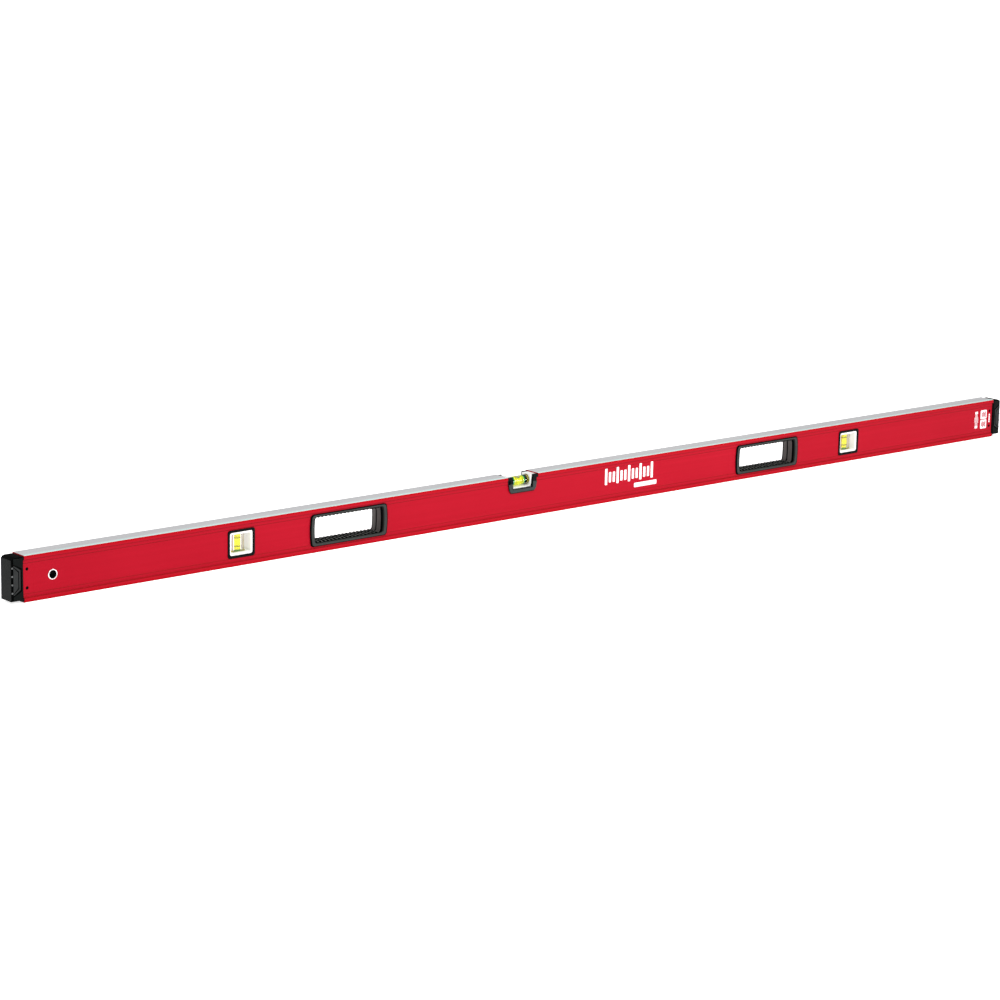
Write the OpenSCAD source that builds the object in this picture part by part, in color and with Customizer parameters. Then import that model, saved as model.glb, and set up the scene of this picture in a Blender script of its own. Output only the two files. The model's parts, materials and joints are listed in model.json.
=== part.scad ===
// Box-beam spirit level with two hand holds, two plumb vials and a level vial read from the top.
// The origin is the bottom centre of the whole level. +X runs along the beam from the end with the
// hang hole to the other end, -Y is the front face and +Z is up. All sizes are in millimetres.

/* [Beam] */
// Length of the aluminium beam, without the end bumpers
beam_l = 1795; // [1400:1:2400]
// Width of the beam across its milled rails
beam_w = 27; // [26:0.5:32]
// Height of the beam between its milled edges
beam_h = 60; // [59.5:0.5:70]
// How far the side webs lie behind the rails
web_recess = 2.5; // [2:0.1:3]
// Height of the proud rail along each edge
rail_h = 5.4; // [4:0.1:6]
// Height from the edge to the end of the shallow band on each web
band_h = 10.8; // [8:0.1:11]
// How far the shallow band stands out of the web
band_step = 0.3; // [0.1:0.05:0.5]
// Thickness of the side webs
web_t = 2.2; // [1.6:0.1:2.6]
// Thickness of the top and bottom walls
edge_t = 4; // [3:0.1:5]

/* [Hand holds] */
// Distance from each end of the beam to the middle of its hand hold
hold_from_end = 505; // [450:1:600]
// Overall width of the lip of a hand hold, measured at half height
hold_w = 130; // [124:1:140]
// Overall height of the lip of a hand hold
hold_h = 44; // [40:0.5:46]
// How far the ends of the lip bow outwards
hold_bow = 2; // [1:0.1:3]
// Width of the clear opening
hold_open_w = 111; // [90:1:113]
// Height of the clear opening, measured between the grip ribs
hold_open_h = 32.5; // [28:0.5:34]
// Number of grip ribs above the fingers, and again below them
grip_ribs = 17; // [8:1:20]

/* [Plumb vials] */
// Distance from each end of the beam to the middle of its plumb window
plumb_from_end = 329.2; // [200:0.1:380]
// Overall width of the window bezel
bezel_w = 43; // [42:0.5:48]
// Overall height of the window bezel
bezel_h = 37.6; // [35:0.2:38.2]
// Width of the clear block that holds the plumb vial
block_w = 17; // [14:0.5:20]
// Distance between the two reading rings of every vial
ring_gap = 11.4; // [10:0.1:13]

/* [Level vial] */
// Middle of the top notch, measured from the middle of the beam
notch_x = -88.5; // [-200:0.5:200]
// Width of the notch where it cuts the top rail
notch_w = 55.4; // [53:0.2:60]
// Outside diameter of the level vial
tube_d = 13; // [11:0.1:13]
// Height of the axis of the level vial below the top edge
tube_drop = 9.4; // [8.5:0.1:9.6]

/* [Hang hole] */
// Distance from the left end of the beam to the hang hole
hang_from_end = 42.5; // [40:0.5:80]
// Clear diameter of the hang hole
hang_d = 10.6; // [8:0.2:12]

/* [End bumpers] */
// How far each bumper stands out beyond the beam
cap_l = 18; // [16:0.5:20]
// Thickness of the plug's flange against the end of the beam
flange_t = 2.5; // [2:0.1:4]
// How far the plug reaches into the beam
plug_l = 28; // [20:1:30]
// Distance from the end of the beam to its snap holes
snap_from_end = 5.4; // [4:0.2:8]

/* [Hidden] */
$fn = 64;

// Allowances
through = 1;        // how far a cut runs past the faces that it opens
slip = 0.2;         // gap at each side of a part that slides into another
thin_gap = 0.03;    // gap between a liquid or a seal and the wall next to it

// Beam
web_y = beam_w / 2 - web_recess;
band_y = web_y + band_step;
cavity_y = web_y - web_t;
mid_z = beam_h / 2;
edge_break = 0.4;
rail_slope = 0.6;
cavity_chamfer = 2.5;

// Hand holds
hold_x = beam_l / 2 - hold_from_end;
lip_y = beam_w / 2 - 0.2;
hold_corner = 4;
hold_bow_r = (pow(hold_h / 2, 2) + pow(hold_bow, 2)) / (2 * hold_bow);
hold_tunnel_w = hold_open_w + 7;
hold_tunnel_h = hold_h - 5;
hold_wall_corner = 3;
hold_mouth_h = hold_open_h + 2.6;
hold_mouth_depth = 3;
rib_w = 3;
rib_h = 1;
rib_pitch = (hold_open_w - 12) / (grip_ribs - 1);
seam_w = 1;
seam_depth = 0.8;

// Plumb vials
plumb_x = beam_l / 2 - plumb_from_end;
bezel_corner = 3.5;
bezel_side = 3.4;
bezel_cross = 3.5;
bezel_proud = 1.2;
window_z = mid_z - 0.4;
window_w = bezel_w - 5;
window_h = bezel_h - 4.2;
window_corner = 2;
carrier_w = window_w - 2 * slip;
carrier_h = window_h - 2 * slip;
carrier_y = web_y - 0.2;
pocket_w = carrier_w - 6;
pocket_h = carrier_h - 8.4;
pocket_corner = 1.5;
block_t = 10.4;
foot_w = block_w + 3;
foot_h = 1.6;
plumb_bore_d = 9;
plumb_plug_h = 2.4;
block_low_z = window_z - pocket_h / 2;
plumb_low_z = block_low_z + plumb_plug_h;
plumb_high_z = window_z + pocket_h / 2 - 1.6;
plumb_bubble_d = 7.8;
plumb_bubble_h = 4.8;
ring_t = 0.6;
ring_depth = 0.2;

// Level vial
tube_z = beam_h - tube_drop;
tube_l = 40;
tube_bore_d = 9.4;
level_fluid_l = 17;
level_plug_l = 6.2;
level_bubble_d = 4.6;
level_bubble_l = 7.6;
collar_w = 1.4;
collar_h = 0.6;
notch_low_z = mid_z + 7.2;
notch_waist_z = mid_z + 10.2;
notch_shoulder_z = beam_h - rail_h;
notch_low_x = notch_w / 2 - 7.8;
notch_waist_x = notch_w / 2 - 4.8;
notch_top_x = notch_w / 2 - 2.2;
frame_lip = 1.3;
level_open_top_x = 19.5;
level_open_low_x = 17.6;
level_floor_z = mid_z + 11.8;
level_pocket_x = 17;
level_pocket_z = mid_z + 13.2;
level_top_z = beam_h - 1;
level_carrier_top_z = level_top_z - 0.5;
step_low_z = beam_h - 11;
step_w = 4.6;
step_floor = 0.5;
level_depth_y = web_y - 1.8;

// Hang hole
hang_x = hang_from_end - beam_l / 2;
hang_wall = 1;
ring_flange_w = 1;
ring_flange_t = 0.7;

// End bumpers
end_x = beam_l / 2;
plug_y = cavity_y - slip;
plug_low_z = edge_t + slip;
plug_wall = 2;
flange_y = beam_w / 2 - 0.4;
flange_low_z = 1.2;
flange_high_z = beam_h - 1.4;
flange_corner = 1.5;
bumper_y = beam_w / 2 - 0.2;
bumper_low_z = 3.2;
bumper_high_z = beam_h - 1.3;
bumper_corner = 2;
bumper_slope = 3;
corner_slot_x = 2.6;
corner_slot_y = 1.7;
boss_y = 6;
boss_l = 6;
boss_low_z = 12;
nub_d = 3.6;
snap_d = 4.2;
snap_z = 12;
clip_t = 0.8;
panel_depth = 1;
panel_h = 41;
panel_slope_x = 2;
panel_slope_z = 6;
outer_groove_x = 0.9;
outer_groove_w = 1.9;
inner_groove_x = 4.8;
inner_groove_w = 1.2;
inner_panel_h = 34;
tooth_inset = 0.6;
tooth_h = 2;
tooth_pitch = 10.6;

// Rectangle with true arcs at its corners, centred
module rounded_rect(w, h, r) {
    square([w - 2 * r, h], center = true);
    square([w, h - 2 * r], center = true);
    for (side_x = [-1, 1], side_y = [-1, 1]) {
        translate([side_x * (w / 2 - r), side_y * (h / 2 - r)])
            circle(r);
    }
}

// Extrudes an outline drawn in X and Z from one depth in Y to another
module slab(y_low, y_high) {
    translate([0, y_high, 0])
        rotate([90, 0, 0])
            linear_extrude(y_high - y_low)
                children();
}

// Extrudes an outline drawn in Y and Z from one place along X to another
module bar(x_low, x_high) {
    translate([x_low, 0, 0])
        rotate([90, 0, 90])
            linear_extrude(x_high - x_low)
                children();
}

// Round rod along Y through the middle of the beam
module cross_rod(d, y_low, y_high) {
    translate([0, y_high, 0])
        rotate([90, 0, 0])
            cylinder(d = d, h = y_high - y_low);
}

// Round rod along X, centred
module long_rod(d, length) {
    rotate([0, 90, 0])
        cylinder(d = d, h = length, center = true);
}

// Draws its children as they are, or mirrored from front to rear
module facing(front) {
    mirror([0, front ? 0 : 1, 0])
        children();
}

// Draws its children as they are at the right end, or mirrored for the left end
module at_end(right) {
    mirror([right ? 0 : 1, 0, 0])
        children();
}

// Turns a list of points over the half height of the beam, in reverse order
function over_mid(points) = [for (i = [len(points) - 1 : -1 : 0]) [points[i][0], beam_h - points[i][1]]];

// Turns a list of points over the vertical axis, in reverse order
function over_axis(points) = [for (i = [len(points) - 1 : -1 : 0]) [-points[i][0], points[i][1]]];

// Outer section of the beam: a box with proud milled rails at its top and bottom
module beam_section() {
    quarter = [
        [beam_w / 2 - edge_break, 0],
        [beam_w / 2, edge_break],
        [beam_w / 2, rail_h],
        [band_y, rail_h + rail_slope],
        [band_y, band_h - band_step],
        [web_y, band_h]
    ];
    side = concat(quarter, over_mid(quarter));
    polygon(concat(side, over_axis(side)));
}

// Hollow of the beam
module cavity_section(gap = 0) {
    quarter = [
        [cavity_y - gap - cavity_chamfer, edge_t + gap],
        [cavity_y - gap, edge_t + gap + cavity_chamfer]
    ];
    side = concat(quarter, over_mid(quarter));
    polygon(concat(side, over_axis(side)));
}

// Outline of a hand hold: a rounded rectangle whose ends bow outwards
module bowed_rect(w, h, r) {
    bow_x = w / 2 - hold_bow_r;
    intersection() {
        rounded_rect(w, h, r);
        translate([bow_x, 0])
            circle(hold_bow_r, $fn = 128);
        translate([-bow_x, 0])
            circle(hold_bow_r, $fn = 128);
    }
}

// Half outline of the top notch, from the top down to its floor
function notch_half(grow, top_z) = [
    [notch_w / 2 + min(grow, 0), top_z],
    [notch_w / 2 + min(grow, 0), notch_shoulder_z],
    [notch_top_x + grow, notch_shoulder_z - 0.6],
    [notch_waist_x + grow, notch_waist_z],
    [notch_low_x + grow * 0.6, notch_low_z - grow]
];

module notch_outline(grow, top_z) {
    half = notch_half(grow, top_z);
    polygon(concat(half, over_axis(half)));
}

// Square-edged box beam with every opening cut through it
module frame() {
    color("crimson")
        difference() {
            bar(-beam_l / 2, beam_l / 2)
                beam_section();
            bar(-beam_l / 2 - through, beam_l / 2 + through)
                cavity_section();
            for (side = [-1, 1]) {
                translate([side * plumb_x, 0, window_z])
                    slab(-beam_w, beam_w)
                        rounded_rect(window_w, window_h, window_corner);
                translate([side * hold_x, 0, mid_z])
                    slab(-beam_w, beam_w)
                        rounded_rect(hold_tunnel_w + 2 * slip, hold_tunnel_h + 2 * slip, hold_wall_corner);
                for (z = [-snap_z, snap_z]) {
                    translate([side * (end_x - snap_from_end), 0, mid_z + z])
                        cross_rod(snap_d, -beam_w, beam_w);
                }
            }
            translate([notch_x, 0, 0])
                slab(-beam_w, beam_w)
                    notch_outline(0, beam_h + through);
            translate([hang_x, 0, mid_z])
                cross_rod(hang_d + 2 * hang_wall, -beam_w, beam_w);
        }
}

// Bright ring pressed into the hang hole of one web, with a flange over the web
module hang_hole_ring(front) {
    color("gainsboro")
        translate([hang_x, 0, mid_z])
            facing(front)
                difference() {
                    union() {
                        cross_rod(hang_d + 2 * hang_wall, -web_y, -cavity_y);
                        cross_rod(hang_d + 2 * (hang_wall + ring_flange_w), -web_y - ring_flange_t, -web_y);
                    }
                    cross_rod(hang_d, -beam_w, beam_w);
                }
}

// Black sleeve through the hollow of the beam, from one ring of the hang hole to the other
module hang_hole_sleeve() {
    color("black")
        translate([hang_x, 0, mid_z])
            difference() {
                cross_rod(hang_d + 2 * hang_wall, -cavity_y, cavity_y);
                cross_rod(hang_d, -beam_w, beam_w);
            }
}

// One half of a hand hold: a lip over the web, a tunnel wall to the middle and the grip ribs
module hold_shell(x, front) {
    mouth_w = hold_open_w + hold_mouth_h - hold_open_h;
    color("dimgray")
        translate([x, 0, mid_z])
            facing(front) {
                slab(-lip_y, -band_y)
                    difference() {
                        bowed_rect(hold_w, hold_h, hold_corner);
                        rounded_rect(mouth_w, hold_mouth_h, hold_wall_corner);
                    }
                slab(-band_y, -band_y + hold_mouth_depth)
                    difference() {
                        rounded_rect(hold_tunnel_w, hold_tunnel_h, hold_wall_corner);
                        rounded_rect(mouth_w, hold_mouth_h, hold_wall_corner);
                    }
                slab(-band_y + hold_mouth_depth, -seam_w / 2)
                    difference() {
                        rounded_rect(hold_tunnel_w, hold_tunnel_h, hold_wall_corner);
                        hold_bore();
                    }
                slab(-seam_w / 2, 0)
                    difference() {
                        rounded_rect(hold_tunnel_w, hold_tunnel_h, hold_wall_corner);
                        rounded_rect(hold_open_w + 2 * seam_depth, hold_open_h + 2 * (rib_h + seam_depth),
                                     hold_wall_corner);
                    }
            }
}

// Clear outline of the tunnel, with the grip ribs standing into it
module hold_bore() {
    difference() {
        rounded_rect(hold_open_w, hold_open_h + 2 * rib_h, hold_wall_corner);
        for (i = [0 : grip_ribs - 1], side = [-1, 1]) {
            translate([(i - (grip_ribs - 1) / 2) * rib_pitch, side * (hold_open_h / 2 + rib_h)])
                square([rib_w, 2 * rib_h], center = true);
        }
    }
}

// Black bezel over the edge of a plumb window on one face
module plumb_bezel(x, front) {
    open_w = bezel_w - 2 * bezel_side;
    open_h = bezel_h - 2 * bezel_cross;
    color("black")
        translate([x, 0, window_z])
            facing(front) {
                slab(-web_y - bezel_proud, -web_y)
                    difference() {
                        rounded_rect(bezel_w, bezel_h, bezel_corner);
                        rounded_rect(open_w, open_h, bezel_corner - 0.5);
                    }
            }
}

// White carrier that fills a plumb window and holds the vial block in its pocket
module plumb_carrier(x) {
    color("white")
        translate([x, 0, window_z])
            slab(-carrier_y, carrier_y)
                difference() {
                    rounded_rect(carrier_w, carrier_h, window_corner);
                    rounded_rect(pocket_w, pocket_h, pocket_corner);
                }
}

// Clear block with an upright bore for the liquid and a thin foot
module plumb_block(x) {
    color("honeydew", 0.4)
        translate([x, 0, block_low_z])
            difference() {
                union() {
                    translate([-block_w / 2, -block_t / 2, 0])
                        cube([block_w, block_t, pocket_h]);
                    translate([-foot_w / 2, -block_t / 2, 0])
                        cube([foot_w, block_t, foot_h]);
                }
                translate([0, 0, -through])
                    cylinder(d = plumb_bore_d, h = plumb_high_z - block_low_z + through);
            }
}

// Green stopper that closes the bottom of a plumb vial
module plumb_plug(x) {
    color("yellowgreen")
        translate([x, 0, block_low_z])
            cylinder(d = plumb_bore_d - 2 * thin_gap, h = plumb_plug_h);
}

// Two dark reading rings on the wall of a plumb vial
module plumb_rings(x) {
    color("black")
        for (side = [-1, 1]) {
            translate([x, 0, window_z + side * ring_gap / 2])
                difference() {
                    cylinder(d = plumb_bore_d - 2 * thin_gap, h = ring_t, center = true);
                    cylinder(d = plumb_bore_d - 2 * ring_depth, h = 2 * ring_t, center = true);
                }
        }
}

// Round-edged slug of air, its axis upright and its top at the origin
module air_slug(grow) {
    r = plumb_bubble_d / 2 + grow;
    h = plumb_bubble_h + 2 * grow;
    fillet = 1.6;
    translate([0, 0, -h / 2 + grow])
        rotate_extrude()
            intersection() {
                rounded_rect(2 * r, h, fillet);
                translate([0, -h / 2])
                    square([r, h]);
            }
}

// Yellow liquid of a plumb vial, with the space that the resting bubble takes
module plumb_fluid(x) {
    color("yellow", 0.8)
        translate([x, 0, 0])
            difference() {
                translate([0, 0, plumb_low_z + thin_gap])
                    cylinder(d = plumb_bore_d - 2 * thin_gap, h = plumb_high_z - plumb_low_z - 2 * thin_gap);
                for (side = [-1, 1]) {
                    translate([0, 0, window_z + side * ring_gap / 2])
                        difference() {
                            cylinder(d = plumb_bore_d + through, h = ring_t + 2 * thin_gap, center = true);
                            cylinder(d = plumb_bore_d - 2 * ring_depth - 2 * thin_gap, h = 2 * ring_t,
                                     center = true);
                        }
                }
                translate([0, 0, plumb_high_z - 0.4])
                    air_slug(thin_gap);
            }
}

// Air bubble of a plumb vial, risen to the top end
module plumb_bubble(x) {
    color("lightyellow")
        translate([x, 0, plumb_high_z - 0.4])
            air_slug(0);
}

// Opening of the level window, wider at the top than at its floor
module level_opening() {
    half = [
        [level_open_top_x, beam_h + through],
        [level_open_low_x, level_floor_z + 1],
        [level_open_low_x - 1, level_floor_z]
    ];
    polygon(concat(half, over_axis(half)));
}

// Outline of the bezel's lip: it fills the notch in the rail and laps over the edge of the web
module level_lip() {
    notch_outline(-slip, level_top_z);
    intersection() {
        notch_outline(frame_lip, level_top_z);
        translate([-notch_w / 2, 0])
            square([notch_w, notch_shoulder_z - rail_slope - slip]);
    }
}

// The two shallow steps in the sides of the lip
module level_steps() {
    for (side = [-1, 1]) {
        translate([side * notch_w / 2, (step_low_z + notch_shoulder_z) / 2])
            square([2 * step_w, notch_shoulder_z - step_low_z], center = true);
    }
}

// Grey bezel of the level window: a U with ears that fill the notch in the rail
module level_bezel(front) {
    color("dimgray")
        translate([notch_x, 0, 0])
            facing(front) {
                slab(-lip_y, -band_y - step_floor)
                    difference() {
                        level_lip();
                        level_opening();
                        level_steps();
                    }
                slab(-band_y - step_floor, -band_y)
                    difference() {
                        level_lip();
                        level_opening();
                    }
                slab(-band_y, -level_depth_y)
                    difference() {
                        notch_outline(-slip, level_top_z);
                        level_opening();
                    }
            }
}

// White carrier that drops into the top notch and cradles the level vial
module level_carrier() {
    color("white")
        translate([notch_x, 0, 0])
            difference() {
                slab(-level_depth_y, level_depth_y)
                    difference() {
                        notch_outline(-slip, level_carrier_top_z);
                        translate([-level_pocket_x, level_pocket_z])
                            square([2 * level_pocket_x, beam_h]);
                    }
                translate([0, 0, tube_z])
                    long_rod(tube_d + 2 * thin_gap, notch_w + through);
            }
}

// Clear tube of the level vial with a thin collar at each end of the window
module level_tube() {
    color("honeydew", 0.4)
        translate([notch_x, 0, tube_z])
            difference() {
                union() {
                    long_rod(tube_d, tube_l);
                    for (side = [-1, 1]) {
                        translate([side * (level_pocket_x - collar_w / 2 - thin_gap), 0, 0])
                            long_rod(tube_d + 2 * collar_h, collar_w);
                    }
                }
                long_rod(tube_bore_d, tube_l + through);
            }
}

// A pair of discs in the bore of the level vial, each starting at the same distance from its middle
module bore_discs(start, length) {
    for (side = [-1, 1]) {
        translate([notch_x + side * (start + length / 2), 0, tube_z])
            long_rod(tube_bore_d - 2 * thin_gap, length);
    }
}

// Two dark green stoppers that shut in the liquid of the level vial
module level_plugs() {
    color("darkgreen")
        bore_discs(level_fluid_l / 2, level_plug_l);
}

// Two clear discs that close the ends of the level vial behind its stoppers
module level_tube_ends() {
    start = level_fluid_l / 2 + level_plug_l;
    color("honeydew", 0.4)
        bore_discs(start, tube_l / 2 - start);
}

// Two dark reading rings of the level vial
module level_rings() {
    color("black")
        for (side = [-1, 1]) {
            translate([notch_x + side * ring_gap / 2, 0, tube_z])
                difference() {
                    long_rod(tube_bore_d - 2 * thin_gap, ring_t);
                    long_rod(tube_bore_d - 2 * ring_depth, 2 * ring_t);
                }
        }
}

// Long air bubble with round ends, lying under the top of the vial
module air_capsule(grow) {
    r = level_bubble_d / 2 + grow;
    straight = level_bubble_l - level_bubble_d;
    translate([0, 0, tube_bore_d / 2 - level_bubble_d / 2 - ring_depth - 0.1]) {
        long_rod(2 * r, straight);
        for (side = [-1, 1]) {
            translate([side * straight / 2, 0, 0])
                sphere(r);
        }
    }
}

// Yellow-green liquid of the level vial, with the space that the centred bubble takes
module level_fluid() {
    color("greenyellow", 0.8)
        translate([notch_x, 0, tube_z])
            difference() {
                long_rod(tube_bore_d - 2 * thin_gap, level_fluid_l - 2 * thin_gap);
                for (side = [-1, 1]) {
                    translate([side * ring_gap / 2, 0, 0])
                        difference() {
                            long_rod(tube_bore_d + through, ring_t + 2 * thin_gap);
                            long_rod(tube_bore_d - 2 * ring_depth - 2 * thin_gap, 2 * ring_t);
                        }
                }
                air_capsule(thin_gap);
            }
}

// Air bubble of the level vial, centred between the rings
module level_bubble() {
    color("lightyellow")
        translate([notch_x, 0, tube_z])
            air_capsule(0);
}

// Hard plug of the right end: a hollow core inside the beam, a flange and a boss for the bumper
module end_plug() {
    core_depth = plug_l - plug_wall;
    color("black")
        difference() {
            union() {
                bar(end_x - plug_l, end_x)
                    cavity_section(slip);
                bar(end_x, end_x + flange_t)
                    intersection() {
                        beam_section();
                        translate([0, (flange_low_z + flange_high_z) / 2])
                            rounded_rect(2 * flange_y, flange_high_z - flange_low_z, flange_corner);
                    }
                bar(end_x + flange_t, end_x + flange_t + boss_l)
                    translate([0, mid_z])
                        rounded_rect(2 * boss_y, beam_h - 2 * boss_low_z, flange_corner);
            }
            bar(end_x - plug_l - through, end_x - plug_l + core_depth)
                translate([0, mid_z])
                    square([2 * (plug_y - plug_wall), beam_h - 2 * (plug_low_z + plug_wall)], center = true);
            for (z = [-snap_z, snap_z]) {
                translate([end_x - snap_from_end, 0, mid_z + z])
                    cross_rod(snap_d, -beam_w, beam_w);
            }
        }
}

// Spring clip of the right end: two leaves inside the plug, each with two nubs for the snap holes
module end_clip() {
    leaf_y = plug_y - plug_wall - thin_gap;
    leaf_l = plug_l - plug_wall - 2;
    color("silver")
        for (front = [true, false]) {
            facing(front) {
                translate([end_x - plug_wall - thin_gap - leaf_l, -leaf_y, mid_z - snap_z - 5])
                    cube([leaf_l, clip_t, 2 * snap_z + 10]);
                for (z = [-snap_z, snap_z]) {
                    translate([end_x - snap_from_end, 0, mid_z + z])
                        cross_rod(nub_d, -web_y + 0.2, -leaf_y + clip_t / 2);
                }
            }
        }
}

// Rubber bumper of the right end, with toothed corner slots and a raised panel on each side
module end_bumper() {
    low_x = end_x + flange_t;
    high_x = end_x + cap_l;
    slot_x = high_x - corner_slot_x;
    tall = bumper_high_z - bumper_low_z;
    centre_z = (bumper_high_z + bumper_low_z) / 2;
    color("black") {
        difference() {
            intersection() {
                bar(low_x, high_x)
                    translate([0, centre_z])
                        rounded_rect(2 * bumper_y, tall, bumper_corner);
                slab(-beam_w, beam_w)
                    bumper_side(low_x, high_x);
            }
            bar(low_x - through, low_x + boss_l)
                translate([0, mid_z])
                    rounded_rect(2 * boss_y, beam_h - 2 * boss_low_z, flange_corner);
            for (side = [-1, 1]) {
                translate([slot_x, side * bumper_y - corner_slot_y, -through])
                    cube([corner_slot_x + through, 2 * corner_slot_y, beam_h + 2 * through]);
                facing(side < 0)
                    slab(-bumper_y - through, -bumper_y + panel_depth) {
                        side_groove(low_x + outer_groove_x, slot_x, panel_h / 2, outer_groove_w);
                        side_groove(low_x + inner_groove_x, slot_x, inner_panel_h / 2, inner_groove_w);
                    }
            }
        }
        for (side = [-1, 1], i = [-1.5 : 1 : 1.5]) {
            tooth_y = side * (bumper_y - (corner_slot_y + tooth_inset) / 2);
            translate([slot_x, tooth_y, mid_z + i * tooth_pitch])
                corner_tooth();
        }
    }
}

// Tooth that bridges a corner slot from its floor to its inner wall, short of both outer faces
module corner_tooth() {
    length = corner_slot_x - tooth_inset;
    translate([length / 2, 0, 0])
        cube([length, corner_slot_y - tooth_inset, tooth_h], center = true);
}

// Side view of a bumper, with its outer top edge sloped off
module bumper_side(low_x, high_x) {
    polygon([
        [low_x - through, 0],
        [high_x, 0],
        [high_x, bumper_high_z - bumper_slope],
        [high_x - 2 * bumper_slope, bumper_high_z],
        [low_x - through, bumper_high_z]
    ]);
}

// Groove round a raised panel on the side of a bumper: a six-sided ring open to the corner slot
module side_groove(low_x, high_x, half, groove_w) {
    difference() {
        panel_outline(low_x, high_x + through, half);
        panel_outline(low_x + groove_w, high_x + through, half - groove_w);
    }
}

module panel_outline(low_x, high_x, half) {
    polygon([
        [high_x, mid_z + half],
        [high_x - panel_slope_x, mid_z + half],
        [low_x, mid_z + half - panel_slope_z],
        [low_x, mid_z - half + panel_slope_z],
        [high_x - panel_slope_x, mid_z - half],
        [high_x, mid_z - half]
    ]);
}

frame();
hang_hole_ring(true);  // hang_hole_front_ring
hang_hole_ring(false);  // hang_hole_rear_ring
hang_hole_sleeve();
hold_shell(-hold_x, true);  // left_hold_front_shell
hold_shell(-hold_x, false);  // left_hold_rear_shell
hold_shell(hold_x, true);  // right_hold_front_shell
hold_shell(hold_x, false);  // right_hold_rear_shell
plumb_bezel(-plumb_x, true);  // left_plumb_front_bezel
plumb_bezel(-plumb_x, false);  // left_plumb_rear_bezel
plumb_carrier(-plumb_x);  // left_plumb_carrier
plumb_block(-plumb_x);  // left_plumb_block
plumb_plug(-plumb_x);  // left_plumb_plug
plumb_rings(-plumb_x);  // left_plumb_rings
plumb_fluid(-plumb_x);  // left_plumb_fluid
plumb_bubble(-plumb_x);  // left_plumb_bubble
plumb_bezel(plumb_x, true);  // right_plumb_front_bezel
plumb_bezel(plumb_x, false);  // right_plumb_rear_bezel
plumb_carrier(plumb_x);  // right_plumb_carrier
plumb_block(plumb_x);  // right_plumb_block
plumb_plug(plumb_x);  // right_plumb_plug
plumb_rings(plumb_x);  // right_plumb_rings
plumb_fluid(plumb_x);  // right_plumb_fluid
plumb_bubble(plumb_x);  // right_plumb_bubble
level_bezel(true);  // level_front_bezel
level_bezel(false);  // level_rear_bezel
level_carrier();
level_tube();
level_plugs();
level_tube_ends();
level_rings();
level_fluid();
level_bubble();
at_end(false) end_plug();  // left_end_plug
at_end(false) end_clip();  // left_end_clip
at_end(false) end_bumper();  // left_end_bumper
at_end(true) end_plug();  // right_end_plug
at_end(true) end_clip();  // right_end_clip
at_end(true) end_bumper();  // right_end_bumper
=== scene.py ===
"""The looks of a box-beam spirit level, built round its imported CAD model.

Everything is in metres in the frame's own coordinates: +X runs along the beam from the end with the
hang hole, -Y is the front face and +Z is up. Sizes named in millimetres are turned into metres by MM.
"""

import json
import math

import bmesh
import bpy
from mathutils import Matrix, Vector


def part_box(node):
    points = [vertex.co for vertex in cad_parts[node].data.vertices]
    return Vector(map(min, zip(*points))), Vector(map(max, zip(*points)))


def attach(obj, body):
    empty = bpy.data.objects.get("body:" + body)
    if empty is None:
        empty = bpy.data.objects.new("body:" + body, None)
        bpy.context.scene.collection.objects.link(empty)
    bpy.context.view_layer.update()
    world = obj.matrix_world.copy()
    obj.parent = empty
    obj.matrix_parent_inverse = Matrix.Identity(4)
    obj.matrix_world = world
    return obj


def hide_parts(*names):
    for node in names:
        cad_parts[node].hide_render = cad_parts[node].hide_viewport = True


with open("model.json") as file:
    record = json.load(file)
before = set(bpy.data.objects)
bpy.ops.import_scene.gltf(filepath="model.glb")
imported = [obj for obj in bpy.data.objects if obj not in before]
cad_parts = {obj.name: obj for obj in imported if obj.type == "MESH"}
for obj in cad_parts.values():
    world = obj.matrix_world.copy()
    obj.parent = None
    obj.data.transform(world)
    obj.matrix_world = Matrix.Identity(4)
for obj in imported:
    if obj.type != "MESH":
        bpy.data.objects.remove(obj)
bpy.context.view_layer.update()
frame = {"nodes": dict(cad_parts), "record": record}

MM = 0.001
# The height of the beam's middle, and how far each web's face stands from the middle plane, in mm
MID_Z = 30
WEB = 11.0
BODY_OF = {node: body for body, nodes in frame["record"]["behaviour"]["bodies"].items() for node in nodes}
SIDES = ("left", "right")
# The two faces and the sign of Y at each
FACES = (("front", -1), ("rear", 1))


# Camera, light and floor

CAMERA_AT = Vector((-2.8935, -3.2474, 0.9806))
CAMERA_AIM = Vector((-0.1188, 0.0, 0.0263))
CAMERA_ROLL = math.radians(1.094)
LENS = 113.3
SENSOR = 36
CLIP_END = 300
# Name, place, aim, width and height, and power of each lamp, in metres and watts
LAMPS = [
    ("key", (-1.6, -2.6, 2.6), (0, 0, 0), (2.4, 1.6), 30),
    ("strip", (0.87, -1.15, 0.17), (-0.0885, 0, 0.05), (0.3, 0.26), 3.2),
    ("middle_glow", (-0.1, -0.9, 0.6), (-0.1, 0, 0), (0.3, 0.3), 2.8),
]
FLOOR_HALF = 60
FLOOR_DROP = 0.1
WORLD_LIGHT = 0.86
WORLD_GLOSS = 0.5
TABLE_GLOW = 0.74


def link(thing):
    bpy.context.scene.collection.objects.link(thing)
    return thing


def make_camera():
    """The photograph's own view, solved from the beam's edges."""
    data = bpy.data.cameras.new("camera")
    data.lens = LENS
    data.sensor_width = SENSOR
    data.clip_end = CLIP_END
    camera = link(bpy.data.objects.new("camera", data))
    look = (CAMERA_AIM - CAMERA_AT).to_track_quat("-Z", "Y").to_matrix().to_4x4()
    camera.matrix_world = Matrix.Translation(CAMERA_AT) @ look @ Matrix.Rotation(CAMERA_ROLL, 4, "Z")
    bpy.context.scene.camera = camera


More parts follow.
